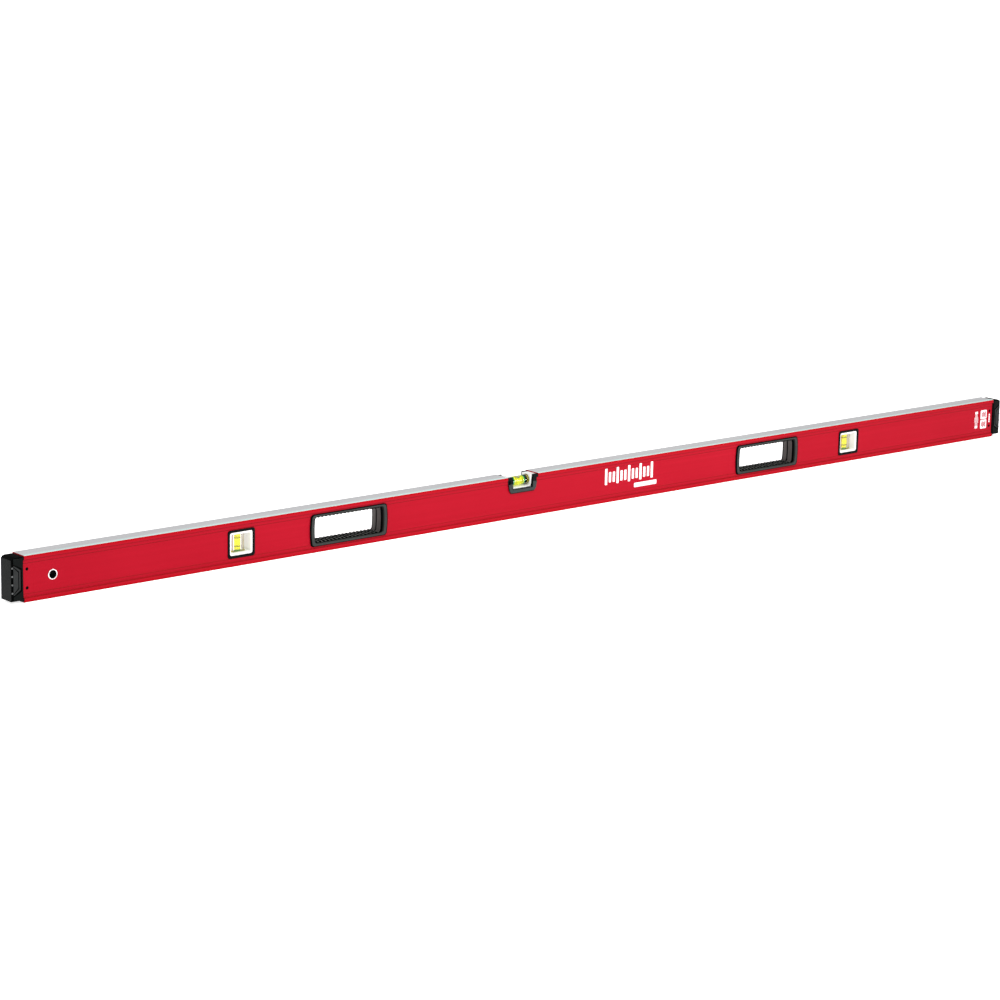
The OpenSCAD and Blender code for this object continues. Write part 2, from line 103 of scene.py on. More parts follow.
def make_world():
    """White behind the floor, soft white light from all round, and a dimmer white in reflections."""
    world = bpy.data.worlds.new("studio")
    bpy.context.scene.world = world
    world.use_nodes = True
    tree = world.node_tree
    rays = tree.nodes.new("ShaderNodeLightPath")
    light = tree.nodes["Background"].outputs["Background"]
    tree.nodes["Background"].inputs["Color"].default_value = (1, 1, 1, 1)
    tree.nodes["Background"].inputs["Strength"].default_value = WORLD_LIGHT
    for ray, strength in (("Is Glossy Ray", WORLD_GLOSS), ("Is Camera Ray", 1)):
        other = tree.nodes.new("ShaderNodeBackground")
        other.inputs["Color"].default_value = (1, 1, 1, 1)
        other.inputs["Strength"].default_value = strength
        mix = tree.nodes.new("ShaderNodeMixShader")
        tree.links.new(rays.outputs[ray], mix.inputs["Fac"])
        tree.links.new(light, mix.inputs[1])
        tree.links.new(other.outputs["Background"], mix.inputs[2])
        light = mix.outputs["Shader"]
    tree.links.new(light, tree.nodes["World Output"].inputs["Surface"])


def area_light(name, at, aim, size, power):
    data = bpy.data.lights.new(name, "AREA")
    data.shape = "RECTANGLE"
    data.size, data.size_y = size
    data.energy = power
    lamp = link(bpy.data.objects.new(name, data))
    lamp.visible_camera = False
    lamp.location = at
    lamp.rotation_mode = "QUATERNION"
    lamp.rotation_quaternion = (Vector(aim) - Vector(at)).to_track_quat("-Z", "Y")


def make_floor():
    """A white light table: it glows softly, so that the object throws next to no shadow on it."""
    bm = bmesh.new()
    bmesh.ops.create_grid(bm, x_segments=1, y_segments=1, size=FLOOR_HALF)
    mesh = bpy.data.meshes.new("floor")
    bm.to_mesh(mesh)
    bm.free()
    floor = link(bpy.data.objects.new("floor", mesh))
    floor.location.z = -FLOOR_DROP * MM
    material, _, shader = new_material("floor")
    shader.inputs["Base Color"].default_value = (0.93, 0.93, 0.93, 1)
    shader.inputs["Roughness"].default_value = 0.9
    shader.inputs["Specular IOR Level"].default_value = 0
    shader.inputs["Emission Color"].default_value = (1, 1, 1, 1)
    shader.inputs["Emission Strength"].default_value = TABLE_GLOW
    mesh.materials.append(material)


# Materials

def srgb(red, green, blue):
    """A display colour, 0 to 255, as the linear colour that shaders take."""
    def linear(value):
        value /= 255
        return value / 12.92 if value <= 0.04045 else ((value + 0.055) / 1.055) ** 2.4
    return (linear(red), linear(green), linear(blue), 1)


def new_material(name):
    material = bpy.data.materials.new(name)
    material.use_nodes = True
    return material, material.node_tree, material.node_tree.nodes["Principled BSDF"]


def coordinates(tree, stretch=(1, 1, 1)):
    """Object coordinates, in metres, multiplied by stretch."""
    source = tree.nodes.new("ShaderNodeTexCoord")
    mapping = tree.nodes.new("ShaderNodeMapping")
    mapping.inputs["Scale"].default_value = stretch
    tree.links.new(source.outputs["Object"], mapping.inputs["Vector"])
    return mapping.outputs["Vector"]


def noise(tree, vector, scale, detail=3):
    node = tree.nodes.new("ShaderNodeTexNoise")
    node.inputs["Scale"].default_value = scale
    node.inputs["Detail"].default_value = detail
    tree.links.new(vector, node.inputs["Vector"])
    return node.outputs["Fac"]


def spread(tree, factor, low, high, start=0.3, end=0.7):
    """Turns a factor between start and end into a value between low and high."""
    node = tree.nodes.new("ShaderNodeMapRange")
    node.inputs["From Min"].default_value = start
    node.inputs["From Max"].default_value = end
    node.inputs["To Min"].default_value = low
    node.inputs["To Max"].default_value = high
    tree.links.new(factor, node.inputs["Value"])
    return node.outputs["Result"]


def mixed(tree, factor, low, high):
    """A colour between low and high; either may be a colour or a node's output.

    A Mix node's colour sockets are inputs 6 and 7 and output 2.
    """
    node = tree.nodes.new("ShaderNodeMix")
    node.data_type = "RGBA"
    tree.links.new(factor, node.inputs["Factor"])
    for index, colour in ((6, low), (7, high)):
        if isinstance(colour, tuple):
            node.inputs[index].default_value = colour
        else:
            tree.links.new(colour, node.inputs[index])
    return node.outputs[2]


def bump(tree, height, distance):
    node = tree.nodes.new("ShaderNodeBump")
    node.inputs["Strength"].default_value = 1
    node.inputs["Distance"].default_value = distance
    tree.links.new(height, node.inputs["Height"])
    return node.outputs["Normal"]


def moulded(name, dark, light, roughness, grain=900, depth=0.02 * MM, specular=0.5, painted_glow=0):
    """Moulded plastic or rubber: a fine grain, faint mottling, and a sheen that varies a little.

    A tinted or frosted one inside a clear block glows a little: painted light in place of the light that it
    gathers from all round.
    """
    material, tree, shader = new_material(name)
    place = coordinates(tree)
    mottle = spread(tree, noise(tree, place, 60), 0, 1)
    fine = noise(tree, place, grain, 4)
    tree.links.new(mixed(tree, mottle, dark, light), shader.inputs["Base Color"])
    tree.links.new(spread(tree, fine, roughness - 0.05, roughness + 0.07), shader.inputs["Roughness"])
    tree.links.new(bump(tree, fine, depth), shader.inputs["Normal"])
    shader.inputs["Specular IOR Level"].default_value = specular
    if painted_glow:
        shader.inputs["Emission Color"].default_value = light
        shader.inputs["Emission Strength"].default_value = painted_glow
    return material


def grip_plastic(name, dark, light, roughness=0.5, specular=0.3):
    return moulded(name, dark, light, roughness, grain=1500, specular=specular)


def rubber(name, dark, light, roughness=0.62, specular=0.12):
    return moulded(name, dark, light, roughness, grain=2200, depth=0.05 * MM, specular=specular)


def position(tree, axis):
    """The object coordinate along one axis, in metres."""
    source = tree.nodes.new("ShaderNodeTexCoord")
    split = tree.nodes.new("ShaderNodeSeparateXYZ")
    tree.links.new(source.outputs["Object"], split.inputs["Vector"])
    return split.outputs[axis]


def calculate(tree, operation, first, second=None):
    node = tree.nodes.new("ShaderNodeMath")
    node.operation = operation
    tree.links.new(first, node.inputs[0])
    if second is not None:
        node.inputs[1].default_value = second
    return node.outputs["Value"]


def stripe(tree, value, centre, half_width):
    """1 where the value is at the centre, falling to 0 at half_width from it."""
    away = calculate(tree, "ABSOLUTE", calculate(tree, "SUBTRACT", value, centre))
    return spread(tree, away, 1, 0, 0, half_width)


def powder_coat():
    """Red powder coat: orange peel, faint die lines, other reds on the rails, and darker reds at the steps
    that are painted shade.
    """
    material, tree, shader = new_material("red_powder_coat")
    along = coordinates(tree, (2, 260, 260))
    place = coordinates(tree)
    drift = spread(tree, noise(tree, place, 5), 0, 1)
    lines = spread(tree, noise(tree, along, 1, 2), 0, 0.4)
    colour = mixed(tree, drift, PAINT_DARK, PAINT_LIGHT)
    colour = mixed(tree, lines, colour, PAINT_LINE)
    height = position(tree, "Z")
    # The stripes at the steps and band edges are painted shade in the creases
    for centre, half_width, colour_there in PAINT_STRIPES_AND_CREASE_SHADE:
        colour = mixed(tree, stripe(tree, height, centre * MM, half_width * MM), colour, colour_there)
    tree.links.new(colour, shader.inputs["Base Color"])
    peel = noise(tree, place, 1400, 2)
    tree.links.new(spread(tree, peel, 0.36, 0.5), shader.inputs["Roughness"])
    tree.links.new(bump(tree, peel, 0.015 * MM), shader.inputs["Normal"])
    shader.inputs["Specular IOR Level"].default_value = 0.04
    return material


def milled_aluminium():
    """Bare milled edge: fine cutter marks across it, a long slow ripple, and a painted highlight, pale
    cyan-white, along its front corner.
    """
    material, tree, shader = new_material("milled_aluminium")
    across = coordinates(tree, (900, 14, 14))
    slow = coordinates(tree, (6, 40, 40))
    marks = noise(tree, across, 1, 2)
    ripple = spread(tree, noise(tree, slow, 1, 2), 0, 1)
    colour = mixed(tree, ripple, srgb(210, 210, 213), srgb(222, 222, 224))
    # Painted highlight: pale cyan-white towards the front corner
    corner = spread(tree, position(tree, "Y"), 1, 0, PAINTED_HIGHLIGHT_CORNER[0] * MM, PAINTED_HIGHLIGHT_CORNER[1] * MM)
    colour = mixed(tree, corner, colour, srgb(222, 252, 249))
    tree.links.new(colour, shader.inputs["Base Color"])
    tree.links.new(spread(tree, marks, 0.3, 0.42), shader.inputs["Roughness"])
    tree.links.new(bump(tree, marks, 0.006 * MM), shader.inputs["Normal"])
    shader.inputs["Metallic"].default_value = 0.4
    shader.inputs["Anisotropic"].default_value = 0.3
    return material


def bare_metal(name, dark, light, roughness):
    """Turned or pressed metal with fine scratches."""
    material, tree, shader = new_material(name)
    place = coordinates(tree)
    scratches = noise(tree, coordinates(tree, (400, 3000, 400)), 1, 3)
    tone = spread(tree, noise(tree, place, 300), 0, 1)
    tree.links.new(mixed(tree, tone, dark, light), shader.inputs["Base Color"])
    tree.links.new(spread(tree, scratches, roughness - 0.04, roughness + 0.08), shader.inputs["Roughness"])
    tree.links.new(bump(tree, scratches, 0.004 * MM), shader.inputs["Normal"])
    shader.inputs["Metallic"].default_value = 1
    return material


def clear(name, low, high, ior, transmission=1.0, painted_glow=0, specular=0.5):
    """Clear acrylic, liquid or air: tint and polish are a little uneven; a dyed liquid also glows, a
    painted light in place of its fluorescence.
    """
    material, tree, shader = new_material(name)
    place = coordinates(tree)
    cloud = spread(tree, noise(tree, place, 120), 0, 1)
    tree.links.new(mixed(tree, cloud, low, high), shader.inputs["Base Color"])
    polish = spread(tree, noise(tree, place, 500), 0.01, 0.03)
    tree.links.new(polish, shader.inputs["Roughness"])
    shader.inputs["IOR"].default_value = ior
    shader.inputs["Transmission Weight"].default_value = transmission
    shader.inputs["Specular IOR Level"].default_value = specular
    if painted_glow:
        shader.inputs["Emission Color"].default_value = high
        shader.inputs["Emission Strength"].default_value = painted_glow
    return material


# A liquid's IOR is against the acrylic that it lies in, not against air
ACRYLIC_IOR = 1.49
LIQUID_IOR = 1.02
# The painted highlight along the front corner of the milled edges fades out between these two places on Y,
# in mm
PAINTED_HIGHLIGHT_CORNER = (-11, -5.5)
PAINT_DARK = srgb(164, 13, 33)
PAINT_LIGHT = srgb(172, 17, 37)
PAINT_LINE = srgb(157, 11, 29)
# Height and half width in mm, and colour, of the stripes of another red that run along the beam; those at
# the steps and band edges are painted shade in the creases, darker along the upper ones
PAINT_STRIPES_AND_CREASE_SHADE = [
    (1.2, 3.6, srgb(166, 0, 14)),  # lower rail
    (5.8, 0.9, srgb(164, 29, 33)),  # step from the lower rail to its band
    (10.6, 0.9, srgb(146, 22, 28)),  # edge of the lower band
    (49.4, 0.9, srgb(128, 18, 24)),  # edge of the upper band
    (54.2, 1.0, srgb(130, 22, 26)),  # step from the upper band to its rail
    (58.8, 3.6, srgb(166, 0, 14)),  # upper rail
]

PAINT = powder_coat()
MILLED = milled_aluminium()
GRIP = grip_plastic("grip", srgb(40, 44, 42), srgb(48, 52, 50), specular=0.2)
# A lighter copy of the grip plastic: painted light on the tunnel's end walls
GRIP_WALL_LIT = grip_plastic("grip_wall_painted_light", srgb(66, 60, 58), srgb(80, 73, 71), roughness=0.55)
# A lighter copy of the grip plastic: painted light on the rib tops
GRIP_RIB_LIT = grip_plastic("grip_rib_painted_light", srgb(76, 78, 74), srgb(94, 96, 92))
# A darker copy of the grip plastic: painted shade on the lip's inner edge
GRIP_EDGE_SHADE = grip_plastic("grip_edge_painted_shade", srgb(16, 19, 17), srgb(24, 27, 25), specular=0.1)
# Near black: the sleeve's own colour, and painted shade in holes, slots, grooves and the hand holds'
# recesses
DEEP_BLACK_AND_SHADE = moulded("deep_black_and_painted_shade", srgb(2, 3, 3), srgb(5, 6, 6), 0.6, specular=0.03)
BLACK = moulded("black_plastic", srgb(1, 7, 8), srgb(4, 11, 12), 0.4, specular=0.06)
# A lighter copy of black plastic: painted light on the level bezel's flat front
LIT_CHARCOAL = moulded("charcoal_painted_light", srgb(38, 44, 44), srgb(46, 52, 52), 0.45, specular=0.2)
WHITE = moulded("white_plastic", srgb(245, 246, 243), srgb(250, 251, 248), 0.35, specular=0.3)
SHADED_POCKET = moulded("shaded_white", srgb(232, 235, 227), srgb(239, 242, 234), 0.5, specular=0.2)
RUBBER = rubber("bumper_rubber", srgb(12, 14, 14), srgb(19, 21, 21))
# A darker copy of the bumper rubber: painted shade on its lower sides
SHADED_FLANK = rubber("flank_rubber_painted_shade", srgb(5, 9, 8), srgb(10, 15, 14), specular=0.08)
# A lighter copy of the bumper rubber: painted light on the raised sides
LIT_PANEL_RUBBER = rubber("panel_rubber_painted_light", srgb(36, 38, 38), srgb(48, 50, 50), roughness=0.6)
# A lighter, glossier copy of the bumper rubber: painted light on the teeth
LIT_TOOTH_RUBBER = rubber("tooth_rubber_painted_light", srgb(84, 86, 86), srgb(100, 102, 102), roughness=0.6, specular=0.5)
BRIGHT = bare_metal("bright_metal", srgb(238, 240, 238), srgb(250, 251, 250), 0.22)
UNPAINTED = bare_metal("unpainted_inside", srgb(168, 170, 172), srgb(188, 190, 192), 0.5)
BLACKENED = bare_metal("blackened_steel", srgb(10, 10, 11), srgb(18, 18, 20), 0.4)
ACRYLIC = clear("clear_acrylic", srgb(250, 252, 250), srgb(253, 254, 253), ACRYLIC_IOR, specular=0.35)
# Their glow is painted light
FROSTED = moulded("frosted_acrylic", srgb(214, 206, 222), srgb(226, 220, 232), 0.4, specular=0.3, painted_glow=0.25)
OLIVE = moulded("tinted_acrylic", srgb(160, 154, 50), srgb(196, 188, 84), 0.3, painted_glow=0.3)
AMBER_EDGE = moulded("tinted_edge", srgb(160, 120, 56), srgb(184, 144, 76), 0.3, painted_glow=0.1)
AMBER = moulded("end_disc", srgb(214, 200, 70), srgb(228, 216, 90), 0.3)
# The liquids' glow is painted light, in place of the dye's fluorescence
LIQUID = clear("yellow_liquid", srgb(232, 226, 50), srgb(238, 232, 60), LIQUID_IOR, transmission=0.7,
               painted_glow=0.2, specular=0)
LEVEL_LIQUID = clear("green_liquid", srgb(222, 232, 40), srgb(240, 238, 56), LIQUID_IOR, transmission=0.6,
                     painted_glow=0.3, specular=0)
AIR = clear("air_bubble", srgb(250, 252, 240), srgb(254, 254, 248), 1.25)
# The level's bubble drawn pale, nearly opaque and glowing: painted light
LEVEL_BUBBLE_LIT = clear("level_bubble_painted_light", srgb(228, 228, 196), srgb(236, 236, 206), 1.1, transmission=0.05,
                  painted_glow=0.05)
# Painted shade on the level bubble's rim
BUBBLE_RIM_SHADE = moulded("bubble_rim_painted_shade", srgb(84, 98, 16), srgb(104, 118, 26), 0.3)
GREEN_PLUG = moulded("green_stopper", srgb(96, 176, 40), srgb(112, 190, 54), 0.3)
# Its glow is painted light
GREEN_SEAL = moulded("green_seal", srgb(0, 150, 84), srgb(8, 166, 96), 0.3, specular=0.1, painted_glow=0.25)
DARK_PLUG = moulded("dark_stopper", srgb(2, 6, 5), srgb(4, 12, 9), 0.35, specular=0.05)
RING_INK = moulded("ring_ink", srgb(112, 106, 6), srgb(130, 124, 14), 0.5)
WHITE_INK = moulded("white_ink", srgb(236, 234, 236), srgb(242, 240, 242), 0.5)
RED_INK = moulded("red_ink", PAINT_DARK, PAINT_LIGHT, 0.5, specular=0.04)


# Mesh helpers

# In degrees: edges sharper than this are rounded, those sharper than this stay crisp in the shading,
# and faces that meet at less than this are one flat face
SHARP_ANGLE = 28
CRISP_ANGLE = 32
FLAT_ANGLE = 0.5
# Points this near each other, in mm, are one point
WELD = 0.002
BEVEL_PROFILE = 0.6


def outline_piece(name, bm, materials, sharp=CRISP_ANGLE):
    """An object from a finished bmesh, smooth except at edges sharper than the given angle."""
    bmesh.ops.recalc_face_normals(bm, faces=bm.faces)
    mesh = bpy.data.meshes.new(name)
    bm.to_mesh(mesh)
    bm.free()
    for material in materials:
        mesh.materials.append(material)
    mesh.shade_smooth()
    mesh.set_sharp_from_angle(angle=math.radians(sharp))
    return link(bpy.data.objects.new(name, mesh))


def stand_for(piece, node):
    """The piece rides on the node's body and is shown instead of it."""
    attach(piece, BODY_OF[node])
    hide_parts(node)
    return piece


def weighted(piece):
    """Keeps the flat faces flat beside their rounded edges."""
    modifier = piece.modifiers.new("weighted_normals", "WEIGHTED_NORMAL")
    modifier.keep_sharp = True


def cad_copy(node):
    """The mesh of a CAD node with its flat faces made whole."""
    bm = bmesh.new()
    bm.from_mesh(frame["nodes"][node].data)
    bmesh.ops.remove_doubles(bm, verts=bm.verts, dist=WELD * MM)
    bmesh.ops.dissolve_limit(bm, angle_limit=math.radians(FLAT_ANGLE), verts=bm.verts, edges=bm.edges)
    return bm


def round_edges(bm, width, segments=2):
    """Rounds the sharp edges of a mesh to the given width in millimetres."""
    angle = math.radians(SHARP_ANGLE)
    sharp = [e for e in bm.edges if len(e.link_faces) == 2 and e.calc_face_angle() > angle]
    bmesh.ops.bevel(bm, geom=sharp, offset=width * MM, offset_type="OFFSET", segments=segments,
                    profile=BEVEL_PROFILE, affect="EDGES", clamp_overlap=True)


def cut_faces(bm, axis, place):
    """Splits the faces that cross a place on an axis, in metres, so that they can take two materials."""
    across = Vector([1 if i == axis else 0 for i in range(3)])
    bmesh.ops.bisect_plane(bm, geom=bm.verts[:] + bm.edges[:] + bm.faces[:], dist=0.001 * MM,
                           plane_co=across * place, plane_no=across)


def refined(node, materials, width=0.3, segments=2, choose=None, cuts=()):
    """A CAD node with its sharp edges rounded to the given width in millimetres.

    choose(face) gives the place in materials of the material that a face takes. cuts are pairs of an
    axis and a place on it where faces are cut.
    """
    bm = cad_copy(node)
    round_edges(bm, width, segments)
    for axis, place in cuts:
        cut_faces(bm, axis, place)
    piece = outline_piece(node + "_detailed", bm, materials)
    if choose is not None:
        for face in piece.data.polygons:
            face.material_index = choose(face)
    weighted(piece)
    return stand_for(piece, node)


def zoned(piece, count, zones):
    """Gives the faces between each ring of a skin and the next one the material of that zone."""
    for face in piece.data.polygons:
        face.material_index = zones[face.index // count]


def skin(rings, loop=True):
    """A closed surface through rings of equally many points.

    The last ring meets the first, or else both ends are capped.
    """
    bm = bmesh.new()
    rows = [[bm.verts.new(point) for point in ring] for ring in rings]
    count = len(rings[0])
    for here, there in zip(rows, rows[1:] + rows[:1] if loop else rows[1:]):
        for i in range(count):
            j = (i + 1) % count
            bm.faces.new((here[i], here[j], there[j], there[i]))
    if not loop:
        bm.faces.new(rows[0])
        bm.faces.new(rows[-1])
    return bm


# Points round a small solid of revolution and round a large one
FEW_POINTS = 48
MANY_POINTS = 64


def turned(centre, axis, profile, count=FEW_POINTS):
    """The rings of a solid of revolution; profile lists (radius, distance along the axis) in mm."""
    axis = Vector(axis).normalized()
    side = Vector((0, 1, 0)) if abs(axis.y) < 0.5 else Vector((1, 0, 0))
    other = axis.cross(side)
    rings = []
    for radius, along in profile:
        ring = []
        for i in range(count):
            turn = 2 * math.pi * i / count
            spoke = side * math.cos(turn) + other * math.sin(turn)
            ring.append(centre + (spoke * radius + axis * along) * MM)
        rings.append(ring)
    return rings


def rounded_outline(width, height, radius, bow=0, edge=None):
    """Points (x, z) in millimetres round a rounded rectangle whose ends may bow outwards.

    edge lists (share, drop) along the top and bottom: where each point lies, from -1 to 1, and how
    far it stands in towards the middle. Each corner and each end is drawn in a few straight steps.
    """
    arc, side = 6, 6
    edge = edge or [(-1, 0), (1, 0)]
    flat_x, flat_z = width / 2 - radius, height / 2 - radius
    points = []

    def corner(centre_x, centre_z, start):
        for i in range(arc + 1):
            turn = math.radians(start + 90 * i / arc)
            points.append((centre_x + radius * math.cos(turn), centre_z + radius * math.sin(turn)))

    corner(flat_x, flat_z, 0)
    points.extend((share * flat_x, height / 2 - drop) for share, drop in reversed(edge[1:-1]))
    corner(-flat_x, flat_z, 90)
    points.extend((-width / 2, flat_z * (1 - 2 * i / side)) for i in range(1, side))
    corner(-flat_x, -flat_z, 180)
    points.extend((share * flat_x, -height / 2 + drop) for share, drop in edge[1:-1])
    corner(flat_x, -flat_z, 270)
    points.extend((width / 2, flat_z * (2 * i / side - 1)) for i in range(1, side))
    bowed = []
    for x, z in points:
        bowed.append((x * (1 - 2 * bow / width * (2 * z / height) ** 2), z))
    return bowed


def at_depth(outline, centre, depth):
    """The outline, in millimetres, as points at a depth in Y round a centre in metres."""
    return [Vector((centre.x + x * MM, depth * MM, centre.z + z * MM)) for x, z in outline]


def middle(node):
    low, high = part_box(node)
    return (low + high) / 2


def section(node):
    """The middle of a node's box, moved to Y = 0, with its width and height in millimetres."""
    low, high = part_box(node)
    centre = Vector(((low.x + high.x) / 2, 0, (low.z + high.z) / 2))
    return centre, (high.x - low.x) / MM, (high.z - low.z) / MM


# Hand holds

# Distances from the middle plane: where the lip's skirt starts, and the top of the lip
HOLD_BAND = 11.3
HOLD_LIP = 13.3
# Width and height of the tunnel, of its mouth and of the wall round it
HOLD_OPEN = (111, 34.5)
HOLD_MOUTH = (114.6, 35.1)
HOLD_WALL = (118, 39)
# How far the ends of the lip and of the mouth bow outwards
HOLD_BOW = 2
MOUTH_BOW = 1.1
# The grip ribs: how many, how far apart, how high, and how far their field stops short of the ends
RIB_COUNT = 17
RIB_PITCH = 99 / 16
RIB_STAND = 1.0
RIB_END = 3
# Across one rib: distance from its middle, and share of its stand
RIB_PROFILE = [(-1.5, 0), (-1.25, 0.35), (-0.95, 0.95), (-0.5, 1), (0.5, 1), (0.95, 0.95), (1.25, 0.35),
               (1.5, 0)]
# The seam's groove reaches this far from the middle plane
SEAM = 0.95
# Near black painted shade on the skirt, in the mouth, along the seam and between the ribs
HOLD_MATERIALS = [DEEP_BLACK_AND_SHADE, GRIP, GRIP_WALL_LIT, GRIP_RIB_LIT, GRIP_EDGE_SHADE]
SHADED_SKIRT, LIP, LIT_TUNNEL, LIT_RIB, SHADED_EDGE = range(5)


def rib_edge(stand):
    """The ribs along the top or bottom of a hand hold, each a low block with sloping sides."""
    half = HOLD_OPEN[0] / 2 - RIB_END
    edge = [(-1, 0)]
    for i in range(RIB_COUNT):
        centre = (i - (RIB_COUNT - 1) / 2) * RIB_PITCH
        edge.extend(((centre + offset) / half, share * stand) for offset, share in RIB_PROFILE)
    return edge + [(1, 0)]


def hold_shell(node, facing):
    """One half of a hand hold: crowned lip, rounded mouth, ribbed tunnel and half of the seam, with painted
    shade and painted light in its zones.
    """
    centre, width, height = section(node)
    open_w, open_h = HOLD_OPEN
    mouth_w, mouth_h = HOLD_MOUTH
    wall_w, wall_h = HOLD_WALL
    # Width, height, corner radius, bow of the ends, distance from the middle plane, share of the ribs'
    # stand, and the zone of the surface from this ring to the next
    rings = [
        (wall_w, wall_h, 3, 0, HOLD_BAND, 0, SHADED_SKIRT),
        (width - 0.6, height - 0.6, 4, HOLD_BOW, HOLD_BAND, 0, SHADED_SKIRT),
        (width, height, 4, HOLD_BOW, HOLD_BAND + 0.15, 0, SHADED_SKIRT),
        (width, height, 4, HOLD_BOW, HOLD_LIP - 1.1, 0, SHADED_SKIRT),
        (width - 0.35, height - 0.3, 4, HOLD_BOW, HOLD_LIP - 0.6, 0, SHADED_SKIRT),
        (width - 1.2, height - 0.9, 3.8, HOLD_BOW, HOLD_LIP - 0.2, 0, SHADED_SKIRT),
        (width - 3.4, height - 2.3, 3.6, HOLD_BOW, HOLD_LIP - 0.04, 0, LIP),
        (width - 5.2, height - 3.6, 3.4, 1.8, HOLD_LIP, 0, LIP),
        (mouth_w + 3.2, mouth_h + 3.2, 3.6, 1.4, HOLD_LIP - 0.12, 0, SHADED_EDGE),
        (mouth_w + 2.0, mouth_h + 1.7, 3.4, 1.3, HOLD_LIP - 0.35, 0, SHADED_EDGE),
        (mouth_w + 0.7, mouth_h + 0.5, 3.2, 1.2, HOLD_LIP - 0.8, 0, SHADED_EDGE),
        (mouth_w, mouth_h + 0.1, 3, MOUTH_BOW, HOLD_LIP - 1.4, 0, SHADED_SKIRT),
        (mouth_w, mouth_h, 3, MOUTH_BOW, HOLD_LIP - 1.6, 0.85, SHADED_SKIRT),
        (mouth_w - 0.1, mouth_h, 3, MOUTH_BOW, HOLD_LIP - 2.1, 1, SHADED_SKIRT),
        (mouth_w - 0.6, mouth_h, 3, MOUTH_BOW, HOLD_BAND - 2.2, 1, SHADED_SKIRT),
        (open_w + 0.8, open_h, 3, MOUTH_BOW, HOLD_BAND - 2.6, 1, LIT_TUNNEL),
        (open_w, open_h, 3, MOUTH_BOW, HOLD_BAND - 3.2, 1, LIT_TUNNEL),
        (open_w - 0.4, open_h, 3, MOUTH_BOW, 1.6, 1, LIT_TUNNEL),
        (open_w - 0.4, open_h, 3, MOUTH_BOW, 1.2, 0.85, SHADED_SKIRT),
        (open_w - 0.4, open_h, 3, MOUTH_BOW, SEAM, 0, SHADED_SKIRT),
        (open_w, open_h, 3, MOUTH_BOW, 0.8, 0, SHADED_SKIRT),
        (open_w + 0.6, open_h + 0.5, 3, MOUTH_BOW, 0.65, 0, SHADED_SKIRT),
        (open_w + 1.6, open_h + 1.6, 3, MOUTH_BOW, 0.6, 0, SHADED_SKIRT),
        (open_w + 1.6, open_h + 1.6, 3, MOUTH_BOW, 0.02, 0, SHADED_SKIRT),
        (wall_w, wall_h, 3, 0, 0.02, 0, SHADED_SKIRT),
    ]
    rows = []
    for w, h, radius, bow, depth, stand, _ in rings:
        shape = rounded_outline(w, h, radius, bow, rib_edge(stand * RIB_STAND))
        rows.append(at_depth(shape, centre, facing * depth))
    piece = outline_piece(node + "_detailed", skin(rows), HOLD_MATERIALS, sharp=40)
    zoned(piece, len(rows[0]), [ring[-1] for ring in rings])
    for face in piece.data.polygons:
        across, beside = abs(face.center.x - centre.x) / MM, abs(face.center.z - centre.z) / MM
        deep = abs(face.center.y) / MM
        # The lower part of the lip's inner edge faces up and keeps the lip's plastic; the rest keeps its
        # painted shade
        if face.material_index == SHADED_EDGE and face.center.z < centre.z and beside > mouth_h / 2 - 1:
            face.material_index = LIP
        # Rib tops take the painted light, the ribs' sides and the gaps the painted shade
        on_ribs = SEAM < deep < HOLD_LIP - 1.5 and across < open_w / 2 - RIB_END
        if on_ribs and open_h / 2 - 2 * RIB_STAND < beside < mouth_h / 2 + 0.1:
            on_top = abs(face.normal.z) > 0.8 and beside < open_h / 2 - 0.5 * RIB_STAND
            face.material_index = LIT_RIB if on_top else SHADED_SKIRT
    return stand_for(piece, node)


# Plumb windows

# Widths of the bezel's bars at the sides and across, and how far it stands out of the web
BEZEL_SIDE = 3.4
BEZEL_CROSS = 3.5
BEZEL_PROUD = 1.2
# Widths of the carrier's rim at the sides and across
RIM_SIDE = 3
RIM_CROSS = 4.2
# The block's foot: how far it steps out on each side, and its height
FOOT_STEP = 1.5
FOOT_H = 1.6
# The block's sides are amber this far in from their front and rear edges, and frosted between
TINTED_CORNER = 1.8
# The liquid and its rings are drawn this much larger in radius than in CAD, as the block magnifies them
VIAL_FLARE = 0.35
# Width of a reading ring, and how far its middle lies inside the CAD ring's outer edge
PLUMB_RING_W = 1.0
PLUMB_RING_INSET = 0.3
# A printed ring lies between these two distances outside the radius that is given for it
RING_IN = 0.02
RING_OUT = 0.1


def plumb_bezel(node, facing):
    """A black frame with rounded rims round a plumb window."""
    centre, width, height = section(node)
    open_w, open_h = width - 2 * BEZEL_SIDE, height - 2 * BEZEL_CROSS
    face = WEB + BEZEL_PROUD
    rings = [
        (open_w, open_h, 3, WEB),
        (width, height, 3.5, WEB),
        (width, height, 3.5, face - 0.6),
        (width - 0.2, height - 0.2, 3.5, face - 0.25),
        (width - 0.8, height - 0.8, 3.3, face),
        (open_w + 1.6, open_h + 2.2, 3.1, face),
        (open_w + 0.5, open_h + 0.7, 3, face - 0.3),
        (open_w, open_h, 3, face - 0.8),
    ]
    rows = [at_depth(rounded_outline(w, h, r), centre, facing * depth) for w, h, r, depth in rings]
    piece = outline_piece(node + "_detailed", skin(rows), [BLACK], sharp=50)
    return stand_for(piece, node)


